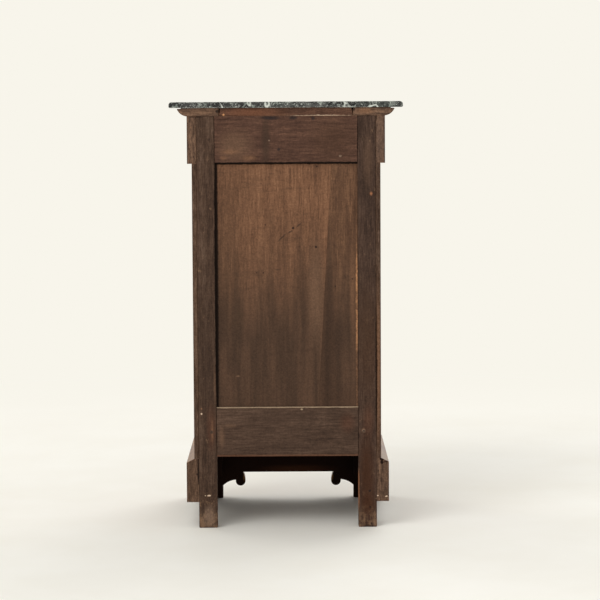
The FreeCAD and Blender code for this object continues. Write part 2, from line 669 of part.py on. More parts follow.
def turned_knob(face_point):
    """Knob turned about Y: base disc, shoulder, neck, flared head with a bevelled rim, and a low dome."""
    def at(radius, rise):
        return vec(radius, -rise, 0)

    neck_top = KNOB_BASE_HEIGHT + KNOB_NECK_HEIGHT
    rim_base = neck_top + KNOB_FLARE_HEIGHT
    rim_top = rim_base + KNOB_RIM_HEIGHT
    dome_base = rim_top + KNOB_BEVEL_HEIGHT
    dome_top = dome_base + KNOB_DOME_HEIGHT
    profile = [at(0, dome_top), at(0, 0), at(KNOB_BASE_RADIUS, 0), at(KNOB_BASE_RADIUS, KNOB_BASE_HEIGHT),
               at(KNOB_NECK_RADIUS, KNOB_BASE_HEIGHT + KNOB_SHOULDER_HEIGHT), at(KNOB_NECK_RADIUS, neck_top),
               at(KNOB_HEAD_RADIUS, rim_base), at(KNOB_HEAD_RADIUS, rim_top),
               at(KNOB_DOME_WIDTH / 2, dome_base)]

    # The dome is the cap of a ball whose centre lies on the knob's axis
    ball_radius = ((KNOB_DOME_WIDTH / 2) ** 2 + KNOB_DOME_HEIGHT ** 2) / (2 * KNOB_DOME_HEIGHT)
    ball_centre = at(0, dome_top - ball_radius)
    halfway = ((profile[-1] - ball_centre).normalize() + vec(0, -1, 0)).normalize()
    dome = Part.Arc(profile[-1], ball_centre + halfway * ball_radius, profile[0]).toShape()
    outline = Part.Wire(Part.makePolygon(profile).Edges + [dome])
    knob = Part.Face(outline).revolve(vec(0, 0, 0), vec(0, 1, 0), 360)
    knob.translate(face_point)
    return knob


def drawer_knob():
    """Knob on the drawer's face, with a spigot let into it."""
    seat = vec(0, frieze_front, sum(drawer_face_z) / 2)
    spigot = rod(KNOB_SPIGOT_RADIUS, seat, vec(0, 1, 0), KNOB_SPIGOT_LENGTH)
    return joined(turned_knob(seat), spigot)


def hinge_spans():
    """Height spans of the two hinges."""
    spans = []
    for share in HINGE_HEIGHT_SHARES:
        middle = door_z[0] + door_height * share
        spans.append((middle - HINGE_HEIGHT / 2, middle + HINGE_HEIGHT / 2))
    return spans


def hinge_pockets(x_start, depth):
    """Recesses that take the leaves, from x_start outwards by depth."""
    x_span = (min(x_start, x_start + depth), max(x_start, x_start + depth))
    return [block(x_span, (body_front - OVERRUN, hinge_leaf_rear), z_span) for z_span in hinge_spans()]


def hinge_leaf(x_span, z_span, own_knuckles):
    """Leaf plate with its own knuckles rolled round the pin; the other leaf's are left clear."""
    up = vec(0, 0, 1)
    pitch = HINGE_HEIGHT / HINGE_KNUCKLE_COUNT
    plate = block(x_span, (body_front, hinge_leaf_rear), z_span)
    barrels = []
    for number in own_knuckles:
        low = z_span[0] + pitch * number + HINGE_KNUCKLE_GAP / 2
        height = pitch - HINGE_KNUCKLE_GAP
        barrels.append(rod(HINGE_KNUCKLE_RADIUS, vec(hinge_x, hinge_y, low), up, height))
        barrels.append(block(x_span, (hinge_y, body_front), (low, low + height)))
    bore = rod(HINGE_PIN_RADIUS + HINGE_PIN_PLAY, vec(hinge_x, hinge_y, z_span[0]), up, HINGE_HEIGHT)
    return joined(plate, *barrels).cut(bore)


def hinge_screws(face_x, side):
    """Countersunk screws with their heads flush in a leaf's face; side is the way into the wood, in x."""
    inward = vec(side, 0, 0)
    pitch = HINGE_HEIGHT / HINGE_SCREW_COUNT
    y = body_front + HINGE_LEAF_WIDTH * HINGE_SCREW_DEPTH_SHARE
    screws = []
    for z_span in hinge_spans():
        for number in range(HINGE_SCREW_COUNT):
            seat = vec(face_x, y, z_span[0] + pitch * (2 * number + 1) / 2)
            head = Part.makeCone(HINGE_SCREW_HEAD_RADIUS, HINGE_SCREW_RADIUS, HINGE_SCREW_SINK, seat, inward)
            screws.append(joined(head, rod(HINGE_SCREW_RADIUS, seat, inward, HINGE_SCREW_LENGTH)))
    return screws


def case_screws():
    return hinge_screws(half_opening, 1)


def door_screws():
    return hinge_screws(door_half, -1)


def slotted(screws, face_x):
    """The screws with a slot across each head."""
    x_span = (face_x - HINGE_SCREW_SLOT_DEPTH, face_x + HINGE_SCREW_SLOT_DEPTH)
    cut_screws = []
    for screw in screws:
        box = screw.BoundBox
        slot_y = (box.Center.y - HINGE_SCREW_SLOT_WIDTH / 2, box.Center.y + HINGE_SCREW_SLOT_WIDTH / 2)
        cut_screws.append(screw.cut(block(x_span, slot_y, (box.ZMin - OVERRUN, box.ZMax + OVERRUN))))
    return Part.makeCompound(cut_screws)


def hinge_pin(z_span):
    """Pin with a wider tip over and under the barrel."""
    up = vec(0, 0, 1)
    shank = rod(HINGE_PIN_RADIUS, vec(hinge_x, hinge_y, z_span[0]), up, HINGE_HEIGHT)
    tips = [rod(HINGE_TIP_RADIUS, vec(hinge_x, hinge_y, low), up, HINGE_TIP_HEIGHT)
            for low in (z_span[0] - HINGE_TIP_HEIGHT, z_span[1])]
    return joined(shank, *tips)


def hinges():
    """Both hinges: case leaves, door leaves, pins and screws, each kind apart."""
    case_x = (half_opening, half_opening + HINGE_LEAF_THICKNESS)
    leaf_x = (door_half - HINGE_LEAF_THICKNESS, door_half)
    outer_knuckles = range(0, HINGE_KNUCKLE_COUNT, 2)
    inner_knuckles = range(1, HINGE_KNUCKLE_COUNT, 2)
    pieces = {}
    for place, z_span in zip(("lower", "upper"), hinge_spans()):
        pieces[place + "_hinge_case_leaf"] = hinge_leaf(case_x, z_span, outer_knuckles).cut(case_screws())
        pieces[place + "_hinge_door_leaf"] = hinge_leaf(leaf_x, z_span, inner_knuckles).cut(door_screws())
        pieces[place + "_hinge_pin"] = hinge_pin(z_span)
    pieces["case_hinge_screws"] = slotted(case_screws(), half_opening)
    pieces["door_hinge_screws"] = slotted(door_screws(), door_half)
    return pieces


def door_stile(outer, inner):
    """Door stile between two x planes, grooved and mortised on its inner edge."""
    side = 1 if outer > inner else -1
    x_span = (min(outer, inner), max(outer, inner))
    stile = block(x_span, door_y, door_z)
    groove_x = sorted((inner - side * OVERRUN, inner + side * DOOR_GROOVE_DEPTH))
    mortise_x = sorted((inner - side * OVERRUN, inner + side * (DOOR_TENON_LENGTH + MORTISE_END_GAP)))
    cuts = [block(groove_x, door_groove_y, door_groove_z)]
    cuts += [block(mortise_x, door_tenon_y, span) for span in door_tenon_spans()]
    return stile.cut(cuts)


def door_tenon_spans():
    """Heights of the tenons, clear of the door's ends and of the panel groove."""
    return ((door_z[0] + DOOR_TENON_SHOULDER, door_panel_z[0] - DOOR_TENON_SHOULDER),
            (door_panel_z[1] + DOOR_TENON_SHOULDER, door_z[1] - DOOR_TENON_SHOULDER))


def door_rail(rail_z, tenon_z, groove_z):
    reach = door_inner + DOOR_TENON_LENGTH
    body = block((-door_inner, door_inner), door_y, rail_z)
    tenon = block((-reach, reach), door_tenon_y, tenon_z)
    groove = block((-door_inner - OVERRUN, door_inner + OVERRUN), door_groove_y, groove_z)
    return joined(body, tenon).cut(groove)


def door_panel():
    """Tongue all round and a raised field with sloped margins towards the front."""
    edge = DOOR_GROOVE_DEPTH - PANEL_EDGE_GAP
    tongue = block((-door_inner - edge, door_inner + edge), door_tongue_y,
                   (door_panel_z[0] - edge, door_panel_z[1] + edge))
    margin_x = (-door_inner, door_inner)
    field_x = (-door_inner + DOOR_PANEL_BEVEL_WIDTH, door_inner - DOOR_PANEL_BEVEL_WIDTH)
    field_z = (door_panel_z[0] + DOOR_PANEL_BEVEL_WIDTH, door_panel_z[1] - DOOR_PANEL_BEVEL_WIDTH)
    field_front = door_tongue_y[0] - DOOR_PANEL_FIELD
    slopes = [rectangle_wire(margin_x, door_panel_z, door_tongue_y[0]),
              rectangle_wire(field_x, field_z, field_front)]
    return joined(tongue, Part.makeLoft(slopes, True, True))


def door():
    low, high = door_tenon_spans()
    hole_start = vec(latch_x, body_front - OVERRUN, latch_z)
    hole_radius = LATCH_SPINDLE_RADIUS + LATCH_SPINDLE_PLAY
    spindle_hole = rod(hole_radius, hole_start, vec(0, 1, 0), DOOR_THICKNESS + OVERRUN * 2)
    hinge_stile = door_stile(door_half, door_inner)
    return {
        "door_hinge_stile": hinge_stile.cut(hinge_pockets(door_half, -HINGE_LEAF_THICKNESS) + door_screws()),
        "door_latch_stile": door_stile(-door_half, -door_inner).cut(spindle_hole),
        "door_bottom_rail": door_rail((door_z[0], door_panel_z[0]), low,
                                      (door_groove_z[0], door_panel_z[0] + OVERRUN)),
        "door_top_rail": door_rail((door_panel_z[1], door_z[1]), high,
                                   (door_panel_z[1] - OVERRUN, door_groove_z[1])),
        "door_panel": door_panel(),
    }


def door_stop():
    """Strip under the drawer rail that the closed door meets."""
    front = door_y[1] + DOOR_STOP_GAP
    return block((-DOOR_STOP_LENGTH / 2, DOOR_STOP_LENGTH / 2), (front, front + DOOR_STOP_DEPTH),
                 (door_head - DOOR_STOP_HEIGHT, door_head))


def latch():
    """Knob in front, spindle through the stile and tongue behind it, upright when unlatched."""
    back = vec(0, 1, 0)
    seat = vec(latch_x, body_front - KNOB_FACE_GAP, latch_z)
    knob = turned_knob(seat)
    socket = rod(LATCH_END_RADIUS, seat - back * LATCH_KNOB_DEPTH, back, LATCH_KNOB_DEPTH)
    body = rod(LATCH_SPINDLE_RADIUS, seat, back, tongue_y[0] - seat.y)
    tongue_seat = vec(latch_x, tongue_y[0], latch_z)
    tail = rod(LATCH_END_RADIUS, tongue_seat, back, TONGUE_THICKNESS + LATCH_END_HEIGHT)
    arm = block((latch_x - TONGUE_WIDTH / 2, latch_x + TONGUE_WIDTH / 2), tongue_y,
                (latch_z, latch_z + TONGUE_LENGTH - TONGUE_WIDTH / 2))
    round_end = rod(TONGUE_WIDTH / 2, tongue_seat, back, TONGUE_THICKNESS)
    tip_seat = tongue_seat + vec(0, 0, TONGUE_LENGTH - TONGUE_WIDTH / 2)
    tip = rod(TONGUE_WIDTH / 2, tip_seat, back, TONGUE_THICKNESS)
    return {
        "latch_knob": knob.cut(socket),
        "latch_spindle": joined(socket, body, tail),
        "latch_tongue": joined(arm, round_end, tip).cut(tail),
    }


def all_pieces():
    pieces = {"marble_top": marble_top(), "back_pegs": Part.makeCompound(back_pegs())}
    for group in (cornice, frieze_sides, cladding, rear_stiles, back_rails, back_panel, front_posts,
                  front_rails, plinth, inside_boards, drawer_box, hinges, door, latch):
        pieces.update(group())
    pieces["drawer_face"] = drawer_face()
    pieces["drawer_knob"] = drawer_knob()
    pieces["door_stop"] = door_stop()
    return pieces


os.makedirs("parts", exist_ok=True)
for node, shape in all_pieces().items():
    shape.exportStep("parts/" + node + ".step")
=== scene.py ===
import json
import math
from collections import namedtuple

import bpy
from mathutils import Matrix, Vector


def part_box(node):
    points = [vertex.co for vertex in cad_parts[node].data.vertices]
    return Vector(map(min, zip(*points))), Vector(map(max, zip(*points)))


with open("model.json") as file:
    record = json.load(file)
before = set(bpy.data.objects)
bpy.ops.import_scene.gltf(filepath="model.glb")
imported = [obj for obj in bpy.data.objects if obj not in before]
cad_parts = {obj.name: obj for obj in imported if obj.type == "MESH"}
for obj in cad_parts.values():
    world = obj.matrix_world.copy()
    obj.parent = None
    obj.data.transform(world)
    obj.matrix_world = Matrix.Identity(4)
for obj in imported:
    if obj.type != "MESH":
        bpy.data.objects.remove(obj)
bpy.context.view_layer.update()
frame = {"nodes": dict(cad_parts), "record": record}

nodes = frame["nodes"]
slots = {row["node"]: row["material_slot"] for row in frame["record"]["subparts"]}
X, Y, Z = range(3)

# Camera behind the cabinet, as the photograph was taken (pixels, metres, degrees; sensor in millimetres)
PICTURE_SIZE = 600
SENSOR_WIDTH = 36.0
FOCAL_PIXELS = 2331.9
CAMERA_PLACE = (-0.0098, 4.3554, 0.7635)
CAMERA_YAW = -0.190
CAMERA_PITCH = 4.804
CAMERA_ROLL = -0.315
CAMERA_REACH = 100

# Softened edges (metres, and degrees between faces)
EDGE_ROUND = 0.0007
FITTING_ROUND = 0.0003
EDGE_SEGMENTS = 2
EDGE_ANGLE = 35
WELD_REACH = 1e-6

# Worn edges: how far in they reach (metres), and how much of the bared tone shows
WOOD_WEAR = 0.0022
STONE_WEAR = 0.002
WEAR_SHARE = 0.7
WEAR_SAMPLES = 4

# Spread of the noise offsets that tell one board from the next, and the middle of the noise's range
BOARD_SPREAD = 60.0
NOISE_MIDDLE = 0.5

# Sockets of the mix node for its share, its two colours and their blend
MIX_SHARE, MIX_FIRST, MIX_SECOND, MIX_RESULT = 0, 6, 7, 2

# Pieces that reach past this are seen from behind (metres)
BACK_START = 0.17

# How far a face's normal points backwards or upwards where it begins to count, and where it fully does
FACING = (0.6, 0.9)

# Shine where the wood is dull, and of the case and the marble from polished to dull
DULL_SHINE = 0.1
CASE_SHINE = {"Roughness": (0.32, 0.8), "Specular IOR Level": (0.5, DULL_SHINE), "Coat Weight": (0.25, 0.0)}
MARBLE_SHINE = {"Roughness": (0.16, 0.7), "Specular IOR Level": (0.5, 0.15)}
COAT_ROUGHNESS = 0.2
SLOPE_DULLNESS = 0.35

# Strength of the relief, and its depth (metres)
WOOD_RELIEF = (0.25, 0.0006)
CASE_RELIEF = (0.08, 0.0006)
MARBLE_RELIEF = (0.5, 0.001)
METAL_RELIEF = (0.12, 0.0002)

# Marks are measured in millimetres on the rear face, x to the cabinet's right and z up.
# What is long reaches past every edge, and the shake of the marks' edges is in metres.
MILLIMETRE = 0.001
LONG = 2000.0
MARK_SHAKE = 0.003
SCRATCH_WIDTH = 4.2

# Tones of marks, dust and wear, and of painted shade and painted highlights, as sRGB numbers from dark to
# light
# Dark lines of open joints, and painted shade under the cornice, under the top rail and along the sunk
# panel's edges
GAP_AND_SHADE = (20, 12, 8)
# Near-black of holes and open joints, and painted shade inside the plinth and on the inside wood near the
# floor
GRIME_AND_SHADE = (28, 14, 8)
DARK_SPOT = (38, 28, 24)
BLUE_STAIN = (44, 36, 35)
DARK_BROWN = (54, 39, 30)
DARK_RED = (62, 36, 21)
SOOT = (60, 45, 36)
UMBER = (66, 46, 33)
DULL_BROWN = (71, 53, 40)
MIDDLE_BROWN = (80, 57, 43)
GREY_BROWN = (82, 67, 60)
RED_BROWN = (94, 61, 46)
RUSSET = (106, 69, 50)
BARE = (106, 80, 62)
# Paler rims of the front scrolls: rubbed wood and a painted highlight of light from the floor
RUBBED_AND_LIT = (116, 86, 54)
WARM = (122, 88, 65)
GREY_WOOD = (122, 100, 84)
SCUFF = (128, 100, 77)
CASE_WEAR = (136, 92, 62)
TAN = (148, 99, 69)
DUST = (160, 138, 113)
# Pale warm dust on the plinth's slope, also standing in for a painted sheen of light
SLOPE_DUST_AND_SHEEN = (164, 124, 82)
INNER_WEAR = (168, 132, 96)
ORANGE = (188, 136, 94)
PALE_WOOD = (205, 178, 152)

# Dark, middle and light tones of the woods
CASE_TONES = ((66, 36, 24), (104, 61, 39), (134, 84, 53))
RAW_TONES = ((60, 45, 36), (92, 70, 56), (120, 93, 74))
HIDDEN_TONES = ((84, 56, 36), (118, 82, 54), (146, 108, 74))
INNER_TONES = ((104, 74, 48), (146, 110, 76), (178, 142, 104))
BACK_TONES = {
    "rear_stile_right": ((48, 35, 28), (72, 54, 43), (95, 75, 62)),
    "rear_stile_left": ((44, 32, 26), (69, 52, 43), (91, 71, 59)),
    "back_top_rail": ((60, 41, 33), (82, 58, 47), (104, 75, 60)),
    "back_bottom_rail": ((54, 40, 32), (76, 58, 47), (96, 75, 62)),
    "back_panel_wide_board": ((88, 62, 46), (113, 80, 59), (134, 97, 72)),
    "back_panel_narrow_board": ((72, 51, 38), (99, 71, 53), (124, 91, 67)),
    "cornice_rear_strip": ((60, 41, 32), (88, 62, 49), (114, 83, 65)),
    "back_pegs": ((46, 34, 28), (72, 55, 45), (94, 74, 62)),
}

# Tones low on the panel, by the value of its streaks
PANEL_LOW = ((0.4, (67, 50, 39)), (0.62, (84, 62, 48)))

# Dirt on the back's boards and on the raw ends, as a share
BACK_DIRT = 0.6
END_DIRT = 0.9

# Dark clouds in the wood, by scale and strength
CLOUDS = ((9, 0.45), (45, 0.3))

# Spread of the grain's value from the middle tone to the dark or the light one
PLAIN_CONTRAST = 0.1
BACK_CONTRAST = 0.12
CASE_CONTRAST = 0.13

# What the figure adds to the grain, as a share of the contrast, and how dark the pores are
FIGURE_SHARE = 0.25
PORE_SHARE = 0.4

# Cells of the grain in metres, along it and across it: figure, fibre and fine fibre
DULL_CELLS = ((0.25, 0.018), (0.04, 0.0034), (0.014, 0.0017))
POLISHED_CELLS = ((0.5, 0.03), (0.26, 0.0042), (0.06, 0.0012))
END_CELLS = ((0.05, 0.006), (0.02, 0.003), (0.008, 0.0012))
GRAIN_SHARES = (0.28, 0.40, 0.32)

# Cells of what else follows the grain, in metres along it and across it
SAW_CELLS = (0.0026, 0.03)
PORE_CELLS = (0.011, 0.0006)
WANDER_CELLS = (0.2, 0.04)
STREAK_CELLS = (0.25, 0.016)
CURL_CELLS = (0.009, 0.045)
SCUFF_CELLS = (0.012, 0.007)

# Growth rings: spacing, wandering and depth of their heart (metres), and their pull along the grain
RING_SPACING = 0.0075
RING_WANDER = 0.035
HEART_DEPTH = 0.03
RING_PULL = 0.09

# Heights from where a tone begins to where it is full, and how far the streaks shift them (metres)
PANEL_FADE = (0.70, 0.44)
SCUFF_FADE = (0.09, 0.0)
# The inside wood's painted shade near the floor fades in between these heights
FLOOR_SHADE_FADE = (0.16, 0.11)
STREAK_REACH = 0.22

# Where in its block the marble was cut, and how far its pattern bends (metres)
MARBLE_CUT = (0.4, 0.1, 0.2)
MARBLE_BEND = 0.09

# Dark, middle and light tones of the marble, by the value of its mottling
MARBLE_STOPS = (0.36, 0.52, 0.68)
POLISHED_MARBLE = ((12, 17, 15), (29, 38, 34), (66, 79, 71))
SAWN_MARBLE = ((34, 34, 33), (64, 64, 62), (98, 98, 94))
MARBLE_CLOUD = (76, 86, 79)
CHIPPED_MARBLE = (196, 198, 190)
WHITE_SPECK = (214, 216, 208)

# Veins by scale, width, strength and tone, and flecks of the sawn edge by the noise's limits and tone
VEINS = (
    (9, 0.013, 0.9, (206, 210, 200)),
    (26, 0.014, 0.55, (144, 152, 143)),
    (70, 0.014, 0.5, (190, 196, 186)),
)
FLECKS = ((0.44, 0.34, (22, 22, 22)), (0.58, 0.70, (200, 203, 196)))

# Metals by bright tone, dull tone and range of roughness
BRASS = ((190, 150, 84), (112, 82, 44), (0.28, 0.5))
IRON = ((92, 88, 84), (44, 40, 38), (0.5, 0.7))

# Studio: lamps by place, size and power (metres, watts), and the plain light from all round
LAMP_TARGET = (0, 0, 0.4)
LAMPS = {
    "key": ((1.9, 3.0, 3.1), 3.0, 78),
    "low fill": ((-0.6, 4.6, 1.0), 2.0, 36),
    "front key": ((-1.9, -3.2, 2.9), 3.0, 60),
    "low front fill": ((3.0, -2.4, 1.8), 2.0, 30),
}
AMBIENT = 0.52
AMBIENT_COLOUR = (1.0, 0.99, 0.97, 1.0)
BACKGROUND_TONE = (248, 245, 235)

# Floor: a wide disc that fades into the background between two distances (metres)
FLOOR_RADIUS = 30
FLOOR_SIDES = 96
FLOOR_FADE = (0.7, 2.2)
FLOOR_STOPS = (0.35, 0.7)
FLOOR_TONES = ((253, 251, 243), (248, 245, 235))
FLOOR_ROUGHNESS = 0.6
FLOOR_SHINE = 0.2


def tone(red, green, blue):
    """Linear colour from the sRGB numbers of a picture."""
    def linear(value):
        share = value / 255
        return share / 12.92 if share <= 0.04045 else ((share + 0.055) / 1.055) ** 2.4
    return (linear(red), linear(green), linear(blue), 1.0)


Mark = namedtuple("Mark", "x z wide high paint strength soft turn ragged", defaults=(0, False))


def hole(x, z, size=3.4):
    """Nail or worm hole: a small dark dot."""
    return Mark(x, z, size, size, DARK_SPOT, strength=0.9, soft=0.6)


def chip(x, z, wide, high, paint=PALE_WOOD):
    """Chip or dot that shows other wood."""
    return Mark(x, z, wide, high, paint, strength=0.9, soft=0.5)


def stain(x, z, wide, high, paint, strength=0.5):
    """Soft patch of another tone."""
    return Mark(x, z, wide, high, paint, strength, soft=0.9)


def blot(x, z, wide, high):
    """Blue-black stain, as iron leaves on wood."""
    return Mark(x, z, wide, high, BLUE_STAIN, strength=0.85, soft=0.7)


def cavity(x, z, wide, high):
    """Dark place where wood is missing."""
    return Mark(x, z, wide, high, GRIME_AND_SHADE, strength=1.0, soft=0.3)


def crack(x, z, length, high, turn):
    """Slanted open joint."""
    return Mark(x, z, length, high, GRIME_AND_SHADE, strength=0.8, soft=0.5, turn=turn)


def scratch(x, z, length, turn, paint=SOOT):
    """Thin slanted line."""
    return Mark(x, z, length, SCRATCH_WIDTH, paint, strength=0.85, soft=0.8, turn=turn)


def upright(x, wide, paint=GAP_AND_SHADE, strength=0.85, z=0, high=LONG):
    """Line along an upright edge."""
    return Mark(x, z, wide, high, paint, strength, soft=0.5)


def worn_and_lit_line(x, wide, paint, strength, z, high):
    """Upright line of bared wood that comes and goes, also a painted highlight where the edge faces the
    light.
    """
    return upright(x, wide, paint, strength, z, high)._replace(ragged=True)


def level(z, high, paint=GAP_AND_SHADE, strength=0.85, x=0, wide=LONG):
    """Line along a level edge."""
    return Mark(x, z, wide, high, paint, strength, soft=0.5)


def edge(name, side, axis):
    """Place of a node's low (0) or high (1) side in millimetres."""
    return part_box(name)[side][axis] / MILLIMETRE


# Edges of the back where lines lie (millimetres)
RIGHT_JOINT = edge("rear_stile_right", 0, X)
LEFT_JOINT = edge("rear_stile_left", 1, X)
CASE_RIGHT = edge("rear_stile_right", 1, X)
CASE_LEFT = edge("rear_stile_left", 0, X)
RAIL_BASE = edge("back_top_rail", 0, Z)
LOW_RAIL_TOP = edge("back_bottom_rail", 1, Z)
LOW_RAIL_BASE = edge("back_bottom_rail", 0, Z)
FRIEZE_TOP = edge("back_top_rail", 1, Z)
FRIEZE_RIGHT = edge("frieze_side_right", 1, X)
FRIEZE_LEFT = edge("frieze_side_left", 0, X)

# The front scrolls' inner sides, rubbed paler and with a painted highlight of light from the floor:
# distance from the middle, and height (millimetres)
SCROLL_EDGE = 85.0
SCROLL_MIDDLE = 41.0

